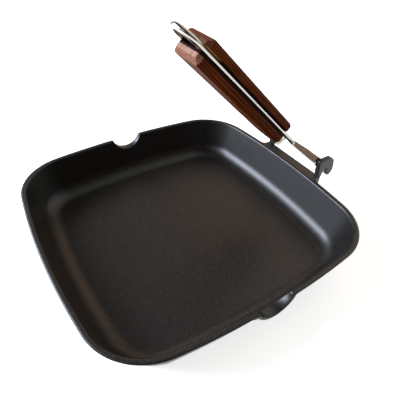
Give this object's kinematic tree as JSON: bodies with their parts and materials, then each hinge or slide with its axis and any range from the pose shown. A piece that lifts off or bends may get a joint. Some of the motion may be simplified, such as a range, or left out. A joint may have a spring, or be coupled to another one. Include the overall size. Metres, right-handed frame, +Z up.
{
  "type": "folding-handle frying pan",
  "caption": "Square cast frying pan with a flat floor, pouring lips on two sides and a folding handle of steel wire with wooden grips, hinged in hook-shaped lugs.",
  "frame": {"origin": "middle of the flat base, on the surface it stands on", "axes": "+Z up, +X towards the handle side, the pouring lips on the +Y and -Y sides"},
  "size_m": [0.3074, 0.2832, 0.2125],
  "materials": {
    "coated_casting": "cast aluminium under a dark speckled non-stick coating, satin",
    "polished_steel": "polished bright steel wire",
    "dark_wood": "oiled dark red-brown hardwood",
    "pin_steel": "turned steel, dulled",
    "screw_steel": "zinc plated steel"
  },
  "bodies": {
    "pan_body": {"pan": "coated_casting"},
    "handle": {"handle_wire": "polished_steel", "grip_inner": "dark_wood", "grip_outer": "dark_wood", "hinge_pins": "pin_steel", "grip_screws": "screw_steel"}
  },
  "joints": [
    {"name": "handle_fold", "type": "hinge", "parent": "pan_body", "child": "handle", "pos_m": [0.155, 0, 0.0498], "axis": [0, 1, 0], "range_deg": [-51, 128]}
  ]
}
